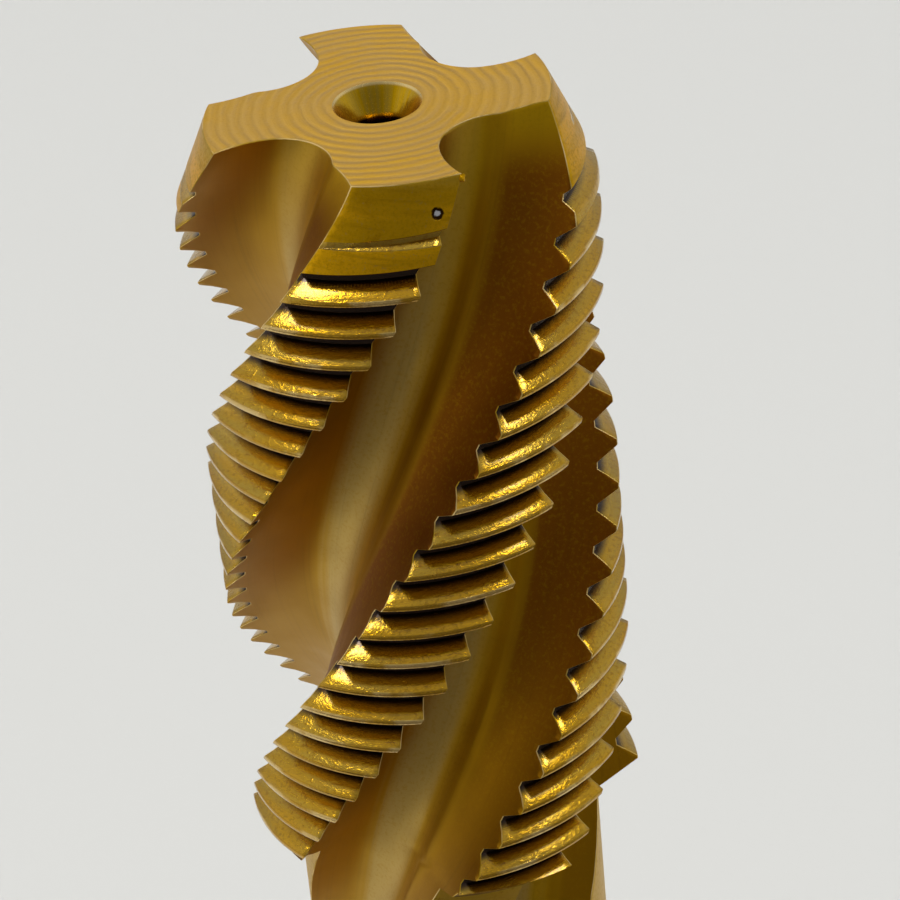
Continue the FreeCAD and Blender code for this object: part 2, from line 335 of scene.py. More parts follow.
class TapSurface:
    """Points of the fluted and threaded part: rows run down the tap and columns round it."""

    def __init__(self, size):
        self.size = size
        self.section = FluteSection(size)
        self.twist = 2 * math.pi / size.flute_lead
        self.rows, self.row_count_per_turn = thread_rows(size)
        self.root = size.crest_radius - size.thread_depth
        self.rim_heights = -np.array(RIM_STEPS) * size.edge_width
        self.low = -bevel_end(size)
        self.close = self.closing_height()
        share_down = np.sin(math.pi / 2 * np.linspace(0, 1, NECK_ROWS))
        self.neck_heights = self.low + (self.close - self.low) * share_down
        self.helix = slice(len(self.rim_heights), len(self.rim_heights) + len(self.rows))

    def closing_height(self):
        """Height at which the rising flute leaves the shank."""
        top, bottom = self.low, -self.size.flute_length - self.size.wheel_radius / 2
        for _ in range(CLOSING_PASSES):
            middle = (top + bottom) / 2
            x, y = self.section.place(self.section.run, middle)
            if np.hypot(x, y).min() < self.size.shank_radius:
                top = middle
            else:
                bottom = middle
        return bottom

    def turn(self, z):
        """Angle by which the section has turned at height z."""
        part = np.clip(1 + z / self.size.lead_length, 0, 1)
        return self.twist * z + self.size.tip_turn * part ** 2 * (3 - 2 * part)

    def heights_and_radii(self, azimuth, across):
        """Heights and radii of all rows at these azimuths, measured from the first land's middle."""
        size = self.size
        centre, side, part, extra = (self.rows[:, i][:, None] for i in range(4))
        half_root = size.root_flat / 2
        slope = math.tan(size.flank)
        shrink = 1 - size.pitch / size.flute_lead
        helix_azimuth, helix_across = azimuth[self.helix], across[self.helix]
        outer = np.full_like(helix_azimuth, size.crest_radius)
        for _ in range(FIT_PASSES):
            depth = np.maximum(outer - self.root, size.edge_width)
            away = part * (half_root + depth * slope) + extra
            z = (centre + side * away + size.pitch * helix_azimuth / (2 * math.pi)) / shrink
            z = np.clip(z, self.low, self.rim_heights[-1])
            outer = outer_radius(size, z, helix_across)
        groove = self.root + np.maximum(away - half_root, 0) / slope
        radius = np.minimum(outer, groove)
        rim = np.broadcast_to(self.rim_heights[:, None], (len(self.rim_heights), azimuth.shape[1]))
        neck = np.broadcast_to(self.neck_heights[:, None], (len(self.neck_heights), azimuth.shape[1]))
        heights = np.concatenate([rim, z, neck])
        radii = outer_radius(size, heights, across)
        radii[self.helix] = radius
        return heights, radii

    def land(self, quarter):
        """Azimuths, heights and radii of one land, from its heel to its cutting edge."""
        size = self.size
        count = len(self.rim_heights) + len(self.rows) + len(self.neck_heights)
        across = np.broadcast_to(np.linspace(0, 1, LAND_STEPS + 1), (count, LAND_STEPS + 1))
        heel = np.full(count, size.heel_angle - math.pi / 2)
        edge = np.full(count, size.lip_angle)
        for _ in range(EDGE_PASSES):
            azimuth = heel[:, None] + across * (edge - heel)[:, None] + quarter * math.pi / 2
            z, radius = self.heights_and_radii(azimuth, across)
            lip_run, _ = self.section.crossings(radius[:, -1], z[:, -1])
            _, heel_run = self.section.crossings(radius[:, 0], z[:, 0])
            edge = self.section.azimuth(lip_run, z[:, -1])
            heel = self.section.azimuth(heel_run, z[:, 0]) - math.pi / 2
        return {"azimuth": azimuth, "z": z, "radius": radius, "lip_run": lip_run, "heel_run": heel_run}

    def shifted(self, column):
        """A column of the first land met again one turn on, where each thread row is one turn lower."""
        moved = column.copy()
        step = self.row_count_per_turn
        helix = column[self.helix]
        above = np.repeat(column[self.helix.start - 1:self.helix.start], step, axis=0)
        moved[self.helix] = np.concatenate([above, helix[:-step]])
        return moved


class Shell:
    """Gathers faces, each with a finish zone and a place on the surface, and welds them into one mesh."""

    def __init__(self):
        self.points, self.places, self.faces, self.zones = [], [], [], []
        self.count = 0

    def add(self, points, places, faces, zones):
        self.points.append(points.reshape(-1, 3))
        self.places.append(places.reshape(-1, 2))
        self.faces.append(faces + self.count)
        self.zones.append(np.broadcast_to(zones, len(faces)))
        self.count += points.size // 3

    def add_grid(self, points, places, zones, inward=False):
        """Add a grid of rows and columns, facing out where rows run down and columns run round."""
        rows, columns = points.shape[:2]
        index = np.arange(rows * columns).reshape(rows, columns)
        corners = [index[:-1, :-1], index[1:, :-1], index[1:, 1:], index[:-1, 1:]]
        faces = np.stack(corners[::-1] if inward else corners, axis=-1).reshape(-1, 4)
        self.add(points, places, faces, np.broadcast_to(zones, (rows - 1, columns - 1)).ravel())

    def add_flat(self, outline, ring, height, zone, up=True):
        """Fill the flat between an outline and the rim of the centre hole, both given as x and y."""
        loops = [[Vector((x, y, 0)) for x, y in loop] for loop in (outline, ring)]
        faces = np.array(tessellate_polygon(loops))
        flat = np.concatenate([outline, ring])
        sides = flat[faces]
        turn = np.cross(sides[:, 1] - sides[:, 0], sides[:, 2] - sides[:, 0])
        backward = (turn > 0) != up
        faces[backward] = faces[backward][:, ::-1]
        points = np.column_stack([flat, np.full(len(flat), height)])
        self.add(points, flat, np.column_stack([faces, faces[:, 2]]), zone)

    def build(self, name):
        points = np.concatenate(self.points)
        keys = np.round(points / WELD_STEP).astype(np.int64)
        _, first, welded = np.unique(keys, axis=0, return_index=True, return_inverse=True)
        source = np.concatenate(self.faces)
        faces = welded.ravel()[source]
        zones = np.concatenate(self.zones)
        same = faces == np.roll(faces, -1, axis=1)
        folded = (faces[:, 0] == faces[:, 2]) | (faces[:, 1] == faces[:, 3])
        keep = ~same & ((same.sum(axis=1) <= 1) & ~folded)[:, None]
        places = np.concatenate(self.places)[source[keep]]
        kept = keep.any(axis=1)
        totals = keep.sum(axis=1)[kept]
        mesh = bpy.data.meshes.new(name)
        mesh.vertices.add(len(first))
        mesh.vertices.foreach_set("co", points[first].ravel().astype(np.float32))
        mesh.loops.add(int(totals.sum()))
        mesh.loops.foreach_set("vertex_index", faces[keep].astype(np.int32))
        mesh.polygons.add(len(totals))
        mesh.polygons.foreach_set("loop_start", (np.cumsum(totals) - totals).astype(np.int32))
        mesh.polygons.foreach_set("material_index", zones[kept].astype(np.int32))
        layer = mesh.uv_layers.new(name="grain")
        layer.uv.foreach_set("vector", (places / MM).ravel().astype(np.float32))
        mesh.update(calc_edges=True)
        mesh.validate()
        mesh.shade_smooth()
        mesh.set_sharp_from_angle(angle=SHARP_ANGLE)
        sharpen_rims(mesh)
        return mesh


def values_of(items, name, kind=np.int32):
    values = np.zeros(len(items), kind)
    items.foreach_get(name, values)
    return values


def sharpen_rims(mesh):
    """Mark the edges round the flat end faces as sharp, so that the flats shade flat."""
    on_face = values_of(mesh.polygons, "material_index") == END_FACE
    on_face = np.repeat(on_face, values_of(mesh.polygons, "loop_total"))
    flat_sides = np.zeros(len(mesh.edges), np.int32)
    np.add.at(flat_sides, values_of(mesh.loops, "edge_index"), on_face)
    layer = mesh.attributes["sharp_edge"].data
    layer.foreach_set("value", values_of(layer, "value", bool) | (flat_sides == 1))


def turned(x, y, z, angle):
    """Points turned about the axis by an angle, with their height measured from the driving end."""
    return np.stack([x * np.cos(angle) - y * np.sin(angle), x * np.sin(angle) + y * np.cos(angle),
                     z + CAD_LENGTH], axis=-1)


class FlutedPart:
    """The lands and flutes as one grid, with rows from the tip face down to the end of the flutes."""

    def __init__(self, size):
        self.size = size
        self.surface = TapSurface(size)
        self.points, self.places, self.zones = [], [], []
        lands = [self.surface.land(quarter) for quarter in range(QUARTERS)]
        for quarter, land in enumerate(lands):
            following = lands[(quarter + 1) % QUARTERS]
            heel_run, heel_z = following["heel_run"], following["z"][:, 0]
            if quarter == QUARTERS - 1:
                heel_run, heel_z = self.surface.shifted(heel_run), self.surface.shifted(heel_z)
            self.add_land(land)
            self.add_flute(quarter, land, heel_run, heel_z)
        full_turn = np.array([0, 2 * math.pi * size.crest_radius])
        self.points.append(self.surface.shifted(self.points[0][:, 0])[:, None])
        self.places.append(self.surface.shifted(self.places[0][:, 0])[:, None] + full_turn)

    def add_land(self, land):
        size = self.size
        azimuth, z, radius = land["azimuth"].copy(), land["z"], land["radius"]
        hone = size.edge_width / radius
        azimuth[:, 0] += hone[:, 0]
        azimuth[:, -1] -= hone[:, -1]
        angle = azimuth + self.surface.turn(z)
        self.points.append(turned(radius, 0 * radius, z, angle))
        self.places.append(np.stack([radius + z, angle * size.crest_radius], axis=-1))
        across = np.linspace(0, 1, LAND_STEPS + 1)
        plain = radius > outer_radius(size, z, across) - size.edge_width / 2
        plain = plain[:-1, 1:] & plain[1:, 1:]
        middle = (z[:-1, 1:] + z[1:, 1:]) / 2
        zones = np.full(plain.shape, THREAD)
        zones[plain & (middle > -size.lead_length)] = LEAD
        zones[plain & (middle < -size.thread_length)] = SHANK
        edge = np.full((len(zones), 1), EDGE)
        self.zones += [zones, edge]

    def add_flute(self, quarter, land, heel_run, heel_z):
        size, surface, section = self.size, self.surface, self.surface.section
        lip_run, lip_z = land["lip_run"], land["z"][:, -1]
        middle = (lip_run + heel_run) / 2
        first = np.minimum(lip_run + size.edge_width, middle)
        last = np.maximum(heel_run - size.edge_width, middle)
        lip_floor = np.minimum(surface.root, outer_radius(size, lip_z, 1)) - TOOTH_FOOT
        heel_floor = np.minimum(surface.root, outer_radius(size, heel_z, 0)) - TOOTH_FOOT
        lip_foot = np.clip(section.crossings(lip_floor, lip_z)[0], first, last)
        heel_foot = np.clip(section.crossings(heel_floor, heel_z)[1], lip_foot, last)
        tooth = np.linspace(0, 1, TOOTH_STEPS + 1)
        inside = np.linspace(0, 1, FLUTE_STEPS + 1)[1:-1]
        stretches = [(first, lip_foot, tooth), (lip_foot, heel_foot, inside), (heel_foot, last, tooth)]
        run = np.concatenate([a[:, None] + (b - a)[:, None] * part for a, b, part in stretches], axis=1)
        whole = np.maximum(heel_run - lip_run, size.edge_width)[:, None]
        z = lip_z[:, None] + (heel_z - lip_z)[:, None] * (run - lip_run[:, None]) / whole
        x, y = section.place(run, z)
        self.points.append(turned(x, y, z, surface.turn(z) + quarter * math.pi / 2))
        self.places.append(np.stack([run, z], axis=-1))
        count = len(run) - 1
        self.zones += [np.full((count, run.shape[1] - 1), FLUTE), np.full((count, 1), EDGE)]

    def grid(self):
        return [np.concatenate(part, axis=1) for part in (self.points, self.places, self.zones)]


def add_tip_face(shell, size, ring):
    """Close the tip with a flat face, honed where it meets the lands and flutes."""
    loop = ring[:-1, :2]
    along = np.roll(loop, -1, axis=0) - np.roll(loop, 1, axis=0)
    inward = np.column_stack([-along[:, 1], along[:, 0]])
    loop = loop + size.edge_width * inward / np.hypot(*along.T)[:, None]
    outline = np.column_stack([loop, np.full(len(loop), CAD_LENGTH)])
    strip = np.stack([np.concatenate([outline, outline[:1]]), ring])
    shell.add_grid(strip, strip[..., :2], EDGE)
    rim = circle(size.centre_radius + size.edge_width, HOLE_STEPS)[:-1]
    shell.add_flat(loop, rim, CAD_LENGTH, END_FACE)


def circle(radius, steps):
    angles = np.linspace(0, 2 * math.pi, steps + 1)
    points = radius * np.stack([np.cos(angles), np.sin(angles)], axis=-1)
    points[-1] = points[0]
    return points


def add_centre_hole(shell, size, face, down):
    """Drill a centre hole into the end face at this height: a cone of 60 degrees and a pilot."""
    cone = (size.centre_radius - size.pilot_radius) / math.tan(CENTRE_CONE)
    hone = size.edge_width
    profile = [(size.centre_radius + hone, 0), (size.centre_radius, hone)]
    depths = np.linspace(0, 1, HOLE_ROWS)[1:]
    profile += [(size.centre_radius + (size.pilot_radius - size.centre_radius) * part, cone * part)
                for part in depths]
    profile += [(size.pilot_radius, cone + (size.pilot_depth - cone) * part) for part in depths]
    profile.append((0, size.pilot_depth))
    sign = -1 if down else 1
    rings = [np.column_stack([circle(radius, HOLE_STEPS), np.full(HOLE_STEPS + 1, face + sign * depth)])
             for radius, depth in profile]
    points = np.stack(rings)
    shell.add_grid(points, points[..., :2], CENTRE_HOLE, inward=down)


def square_corner(size, radius):
    """Azimuth at which a flat of the driving square meets a circle of this radius."""
    return math.acos(size.square_half / radius)


def square_azimuths(size, radius, count):
    """Azimuths round the square, with the flats' ends where they meet the circle."""
    corner = square_corner(size, radius)
    flat = np.linspace(-corner, corner, SQUARE_FLAT_STEPS + 1)
    round_part = np.linspace(corner, math.pi / 2 - corner, count - SQUARE_FLAT_STEPS + 1)
    quarter = np.concatenate([flat, round_part[1:-1]])
    turns = [quarter + i * math.pi / 2 for i in range(QUARTERS)]
    return np.concatenate(turns + [[quarter[0] + 2 * math.pi]])


def ring_points(radius, azimuth, z):
    radius, azimuth, z = np.broadcast_arrays(radius, azimuth, z)
    return turned(radius, 0 * radius, z, azimuth)


def add_shank(shell, size, ring, low):
    """Add the plain shank from the end of the flutes down, and the driving square, open for its centre
    hole.
    """
    loop = ring[:, :2]
    steps = np.hypot(*np.diff(loop, axis=0).T)
    loop = loop[np.concatenate([[True], steps > WELD_STEP])]
    upper = np.unwrap(np.arctan2(loop[:, 1], loop[:, 0]))
    count = (len(loop) - 1) // QUARTERS
    lower = square_azimuths(size, size.shank_radius, count)
    quarter_turn = math.pi / 2
    lower = lower + quarter_turn * round((upper.mean() - lower.mean()) / quarter_turn)
    shoulder = size.square_length - size.overall_length
    part = np.linspace(0, 1, SHANK_ROWS + 1)[:, None]
    azimuth = upper + (lower - upper) * part
    z = low + (shoulder - low) * part
    points = ring_points(size.shank_radius, azimuth, z)
    points[0] = np.concatenate([ring[:1], ring[1:][steps > WELD_STEP]])
    places = np.stack([np.broadcast_to(z, azimuth.shape), azimuth * size.shank_radius], axis=-1)
    shell.add_grid(points, places, SHANK)
    add_square(shell, size, count, shoulder, points[-1])


def add_square(shell, size, count, shoulder, last_ring):
    """Add the driving square, its shoulder against the shank's last ring and its bevelled end."""
    chamfer_top = size.drive_chamfer - size.overall_length
    full_rows = np.linspace(shoulder, chamfer_top, SQUARE_ROWS)
    chamfer_rows = np.linspace(chamfer_top, -size.overall_length, CHAMFER_ROWS)[1:]
    rings, places = [], []
    for z in np.concatenate([full_rows, chamfer_rows]):
        radius = size.shank_radius - max(0, chamfer_top - z)
        azimuth = square_azimuths(size, radius, count)
        from_flat = (azimuth + math.pi / QUARTERS) % (math.pi / 2) - math.pi / QUARTERS
        reach = np.minimum(radius, size.square_half / np.cos(from_flat))
        rings.append(ring_points(reach, azimuth, z))
        places.append(np.column_stack([reach * np.sin(from_flat), np.full(len(azimuth), z)]))
    shift = int(np.hypot(*(rings[0][:-1, :2] - last_ring[0, :2]).T).argmin())
    shoulder_ring = np.roll(last_ring[:-1], shift, axis=0)
    shoulder_ring = np.concatenate([shoulder_ring, shoulder_ring[:1]])
    strip = np.stack([shoulder_ring, rings[0]])
    shell.add_grid(strip, strip[..., :2], SHANK)
    shell.add_grid(np.stack(rings), np.stack(places), SHANK)
    rim = circle(size.centre_radius + size.edge_width, HOLE_STEPS)[:-1]
    shell.add_flat(rings[-1][:-1, :2], rim, 0, END_FACE, up=False)


def add_burr(shell):
    """Add the small rough burr that stands out at the front land's cutting corner."""
    tilt = np.linspace(0, math.pi, BURR_STEPS + 1)[:, None]
    around = np.linspace(0, 2 * math.pi, BURR_STEPS + 1)[None, :]
    rough = 0.2 * np.sin(3 * around + 1) * np.sin(2 * tilt)
    rough = rough + 0.15 * np.cos(2 * around) * np.sin(3 * tilt)
    reach = BURR_REACH * MM * (1 + rough)
    across = np.sin(tilt)
    points = np.stack([reach * across * np.cos(around), reach * across * np.sin(around),
                       reach * np.cos(tilt) + 0 * around], axis=-1)
    points += np.array(BURR_PLACE) * MM
    shell.add_grid(points, points[..., :2], LEAD)


def build_tap(size):
    shell = Shell()
    part = FlutedPart(size)
    points, places, zones = part.grid()
    shell.add_grid(points, places, zones)
    add_tip_face(shell, size, points[0])
    add_shank(shell, size, points[-1], part.surface.close)
    add_centre_hole(shell, size, CAD_LENGTH, down=True)
    add_centre_hole(shell, size, 0, down=False)
    add_burr(shell)
    return shell.build("tap")


def feed(tree, socket, value):
    """Give a socket a value, or link it where the value is another socket."""
    if isinstance(value, bpy.types.NodeSocket):
        tree.links.new(value, socket)
    else:
        socket.default_value = value


def add_node(tree, kind, inputs=None, **settings):
    """Add a node, set its options, and feed its inputs by name or number."""
    node = tree.nodes.new(kind)
    for name, value in settings.items():
        setattr(node, name, value)
    for name, value in (inputs or {}).items():
        feed(tree, node.inputs[name], value)
    return node


def math_node(tree, operation, *values):
    return add_node(tree, "ShaderNodeMath", dict(enumerate(values)), operation=operation).outputs[0]


def mix_colour(tree, factor, first, second):
    node = add_node(tree, "ShaderNodeMix", data_type="RGBA")
    for name, value in (("Factor_Float", factor), ("A_Color", first), ("B_Color", second)):
        feed(tree, next(item for item in node.inputs if item.identifier == name), value)
    return next(item for item in node.outputs if item.identifier == "Result_Color")


def map_range(tree, value, low, high, out_low=0.0, out_high=1.0, smooth=True):
    inputs = {"Value": value, "From Min": low, "From Max": high, "To Min": out_low, "To Max": out_high}
    kind = "SMOOTHSTEP" if smooth else "LINEAR"
    return add_node(tree, "ShaderNodeMapRange", inputs, interpolation_type=kind).outputs[0]


def vector_node(tree, operation, *values, **settings):
    return add_node(tree, "ShaderNodeVectorMath", dict(enumerate(values)), operation=operation,
                    **settings).outputs


def parts_of(tree, vector):
    return add_node(tree, "ShaderNodeSeparateXYZ", {0: vector}).outputs


def vector_of(tree, **parts):
    return add_node(tree, "ShaderNodeCombineXYZ", parts).outputs[0]


def product(tree, first, *others):
    for other in others:
        first = math_node(tree, "MULTIPLY", first, other)
    return first


def noise(tree, vector, scale, detail=3.0, roughness=0.55):
    inputs = {"Vector": vector, "Scale": scale, "Detail": detail, "Roughness": roughness}
    return add_node(tree, "ShaderNodeTexNoise", inputs).outputs["Fac"]


def opaque(rgb):
    return (*rgb, 1.0)


def new_group(name, inputs, outputs):
    """Start a node group with named sockets, each a name, a socket type and, for inputs, a default."""
    tree = bpy.data.node_groups.new(name, "ShaderNodeTree")
    for socket_name, kind, default in inputs:
        socket = tree.interface.new_socket(socket_name, in_out="INPUT", socket_type=kind)
        if default is not None:
            socket.default_value = default
    for socket_name, kind in outputs:
        tree.interface.new_socket(socket_name, in_out="OUTPUT", socket_type=kind)
    return tree, tree.nodes.new("NodeGroupInput"), tree.nodes.new("NodeGroupOutput")


def grinding_group():
    """Fine lines left by the wheel, long along the grain and narrow across it."""
    inputs = [("Place", "NodeSocketVector", None), ("Lines per mm", "NodeSocketFloat", 6.0),
              ("Length", "NodeSocketFloat", 6.0)]
    outputs = [("Lines", "NodeSocketFloat"), ("Bands", "NodeSocketFloat")]
    tree, source, target = new_group("Grinding lines", inputs, outputs)
    along = math_node(tree, "DIVIDE", 1.0, source.outputs["Length"])
    scale = vector_of(tree, X=source.outputs["Lines per mm"], Y=along)
    fine = vector_node(tree, "MULTIPLY", source.outputs["Place"], scale)[0]
    wide = vector_node(tree, "MULTIPLY", fine, (0.22, 0.4, 1.0))[0]
    tree.links.new(noise(tree, fine, 1.0, detail=4.0), target.inputs["Lines"])
    tree.links.new(noise(tree, wide, 1.0, detail=2.0), target.inputs["Bands"])
    return tree


def speckle_group():
    """Small grains of a satin coating, with slow clouds of tone over them."""
    inputs = [("Place", "NodeSocketVector", None), ("Grains per mm", "NodeSocketFloat", 9.0)]
    outputs = [("Grains", "NodeSocketFloat"), ("Clouds", "NodeSocketFloat")]
    tree, source, target = new_group("Coating grain", inputs, outputs)
    scale = math_node(tree, "MULTIPLY", source.outputs["Grains per mm"], 1 / MM)
    clouds = noise(tree, source.outputs["Place"], 420.0, detail=3.0)
    grains = noise(tree, source.outputs["Place"], scale, detail=2.0, roughness=0.7)
    tree.links.new(grains, target.inputs["Grains"])
    tree.links.new(clouds, target.inputs["Clouds"])
    return tree


def radius_from(tree, coordinates):
    """Distance from the tap's axis, in millimetres."""
    parts = parts_of(tree, coordinates)
    reach = vector_node(tree, "LENGTH", vector_of(tree, X=parts["X"], Y=parts["Y"]))["Value"]
    return math_node(tree, "MULTIPLY", reach, 1 / MM)


def new_material(name):
    material = bpy.data.materials.new(name)
    material.use_nodes = True
    return material, material.node_tree.nodes["Principled BSDF"]


class Finish:
    """One material in the making: its shader, the places on the surface, and the shared groups."""

    def __init__(self, zone, groups):
        self.material, self.shader = new_material(f"coated_{zone}")
        self.tree = self.material.node_tree
        self.shader.inputs["Metallic"].default_value = 1.0
        self.object = add_node(self.tree, "ShaderNodeTexCoord").outputs["Object"]
        self.grain = add_node(self.tree, "ShaderNodeUVMap", uv_map="grain").outputs["UV"]
        self.groups = groups
        self.tone = opaque((0.0, 0.0, 0.0))

    def group(self, name, **values):
        node = self.tree.nodes.new("ShaderNodeGroup")
        node.node_tree = self.groups[name]
        for key, value in values.items():
            feed(self.tree, node.inputs[key.replace("_", " ")], value)
        return node.outputs

    def lines(self, per_mm, length):
        outputs = self.group("grinding", Place=self.grain, Lines_per_mm=per_mm, Length=length)
        return outputs["Lines"], outputs["Bands"]

    def speckle(self, per_mm):
        outputs = self.group("speckle", Place=self.object, Grains_per_mm=per_mm)
        return outputs["Grains"], outputs["Clouds"]

    def begin(self, colour_value):
        self.tone = opaque(colour_value)

    def lay(self, factor, colour_value):
        """Lay a colour over the tone so far."""
        self.tone = mix_colour(self.tree, factor, self.tone, opaque(colour_value))

    def lay_where(self, mask, low, high, colour_value, most=1.0, least=0.0):
        """Lay a colour by a mask: least of it where the mask is low, most of it where it is high."""
        self.lay(map_range(self.tree, mask, low, high, least, most), colour_value)

    def coat(self, weight, roughness):
        self.shader.inputs["Coat Weight"].default_value = weight
        self.shader.inputs["Coat Roughness"].default_value = roughness

    def use_tone(self):
        self.tree.links.new(self.tone, self.shader.inputs["Base Color"])

    def roughness(self, value, low, high):
        ranged = map_range(self.tree, value, *NOISE_SPREAD, low, high, smooth=False)
        self.tree.links.new(ranged, self.shader.inputs["Roughness"])

    def bump(self, height, distance):
        inputs = {"Height": height, "Distance": distance, "Strength": 1.0}
        node = add_node(self.tree, "ShaderNodeBump", inputs)
        self.tree.links.new(node.outputs[0], self.shader.inputs["Normal"])


def turned_rings(tree, reach, clouds):
    """Height of the rings that the facing cut left round the axis, wandering a little."""
    wander = math_node(tree, "MULTIPLY_ADD", clouds, RING_WANDER, reach)
    phase = math_node(tree, "MULTIPLY", wander, 2 * math.pi / RING_STEP)
    return math_node(tree, "SINE", phase)


def end_face_finish(finish, look):
    """Pale satin gold with the turned rings of the facing cut."""
    tree = finish.tree
    reach = radius_from(tree, finish.object)
    grains, clouds = finish.speckle(8.0)
    rings = turned_rings(tree, reach, clouds)
    fine = noise(tree, vector_of(tree, X=reach), 9.0)
    finish.begin(look.pale)
    finish.lay_where(clouds, 0.4, 0.7, look.mustard, most=0.5)
    finish.lay_where(rings, -1.0, 1.0, look.brown, most=0.28)
    finish.lay_where(grains, 0.55, 0.75, look.brown, most=0.3)
    finish.use_tone()
    finish.roughness(grains, look.satin, look.satin + 0.12)
    height = math_node(tree, "MULTIPLY_ADD", grains, 0.6, fine)
    finish.bump(math_node(tree, "MULTIPLY_ADD", rings, 1.1, height), 0.018 * MM)


def pit_distance(tree, coordinates, grains):
    """Distance from the small pit in one land's chamfer, in millimetres, made uneven by the grains."""
    centre = [value * MM for value in PIT_PLACE]
    away = vector_node(tree, "DISTANCE", coordinates, centre)["Value"]
    away = math_node(tree, "MULTIPLY_ADD", away, 1 / MM, -0.1)
    return math_node(tree, "MULTIPLY_ADD", grains, 0.16, away)


def lead_finish(finish, look):
    """Satin gold of the cutting chamfer, with fine lines round it, a brighter rim and one pit."""
    tree = finish.tree
    lines, bands = finish.lines(8.0, 3.0)
    grains, clouds = finish.speckle(7.0)
    from_axis = parts_of(tree, finish.grain)["X"]
    rim = map_range(tree, from_axis, TIP_RADIUS - 0.45, TIP_RADIUS - 0.08, 0.0, 0.8)
    pit = pit_distance(tree, finish.object, grains)
    finish.begin(look.mustard)
    finish.lay(math_node(tree, "MULTIPLY_ADD", clouds, -0.2, map_range(tree, bands, 0.35, 0.6)), look.amber)
    finish.lay_where(clouds, 0.45, 0.7, look.brown, most=0.4)
    finish.lay_where(grains, 0.42, 0.3, look.pale, most=0.6)
    finish.lay(rim, look.gold)
    finish.lay_where(lines, 0.5, 0.7, look.brown, most=0.5)
    finish.lay_where(grains, 0.45, 0.7, look.brown, most=0.5)
    finish.lay_where(pit, 0.27, 0.2, look.shade_and_marks)
    finish.lay_where(pit, 0.12, 0.08, look.steel)
    finish.use_tone()
    finish.roughness(grains, look.satin - 0.06, look.satin + 0.1)
    dent = map_range(tree, pit, 0.1, 0.28, -6.0, 0.0)
    rough = math_node(tree, "ADD", grains, lines)
    finish.bump(math_node(tree, "ADD", rough, dent), 0.009 * MM)


def upper_flank(tree, parts):
    """One on the flanks that face the tip, nought on those that face the driving end."""
    step = PITCH * MM
    around = math_node(tree, "ARCTAN2", parts["Y"], parts["X"])
    down = math_node(tree, "MULTIPLY_ADD", parts["Z"], -1 / step, CAD_LENGTH / step - GROOVE_PHASE)
    turns = math_node(tree, "MULTIPLY_ADD", around, 1 / (2 * math.pi), down)
    return math_node(tree, "LESS_THAN", math_node(tree, "FRACT", turns), 0.5)


def groove_place(tree, reach, height):
    """Distance below the tip, the tooth's height there, and how far up the tooth a place is, as a share."""
    down = math_node(tree, "MULTIPLY_ADD", height, -1 / MM, CAD_LENGTH / MM)
    slope = (CREST - TIP_RADIUS) / LEAD_LENGTH
    chamfer = math_node(tree, "MULTIPLY_ADD", down, slope, TIP_RADIUS)
    tall = math_node(tree, "SUBTRACT", math_node(tree, "MINIMUM", chamfer, CREST), ROOT)
    up = math_node(tree, "DIVIDE", math_node(tree, "SUBTRACT", reach, ROOT), tall)
    return down, tall, up


def chatter_dots(finish, parts, down, up):
    """A row of small bright dots along the foot of the upper flanks, on the first teeth only."""
    tree = finish.tree
    around = parts_of(tree, finish.grain)["Y"]
    wave = math_node(tree, "SINE", math_node(tree, "MULTIPLY", around, 2 * math.pi / CHATTER_STEP))
    return product(tree, map_range(tree, wave, 0.0, 0.9, 0.0, 0.8), map_range(tree, up, 0.12, 0.2),
                   map_range(tree, up, 0.36, 0.26), upper_flank(tree, parts),
                   map_range(tree, down, 5.2, 4.2))


def thread_finish(finish, look):
    """Bright ground thread: gold flanks with lines round the tap, painted shade, black-brown, down in the
    grooves.
    """
    tree = finish.tree
    lines, bands = finish.lines(14.0, 2.2)
    grains, clouds = finish.speckle(5.0)
    parts = parts_of(tree, finish.object)
    down, tall, up = groove_place(tree, radius_from(tree, finish.object), parts["Z"])
    crest = map_range(tree, up, 0.92, 0.97)
    finish.begin(look.gold)
    finish.lay_where(bands, 0.35, 0.65, look.mustard)
    finish.lay_where(lines, 0.5, 0.72, look.brown, most=0.4)
    finish.lay_where(grains, 0.5, 0.68, look.brown, most=0.8)
    # The crests go browner, then pale gold in patches: a painted highlight.
    finish.lay(product(tree, crest, 0.6), look.brown)
    finish.lay(product(tree, crest, map_range(tree, clouds, 0.5, 0.62, 0.0, 0.6)), look.edge)
    # Painted shade: black-brown laid low in each groove, less where the tooth is short.
    finish.lay(product(tree, map_range(tree, up, 0.5, 0.05), map_range(tree, tall, 0.15, 0.6)), look.shade_and_marks)
    finish.lay(chatter_dots(finish, parts, down, up), look.gold)
    finish.use_tone()
    finish.roughness(lines, look.bright, look.bright + 0.14)
    finish.coat(look.gloss, look.bright)
    finish.bump(math_node(tree, "MULTIPLY_ADD", grains, 2.5, lines), 0.009 * MM)


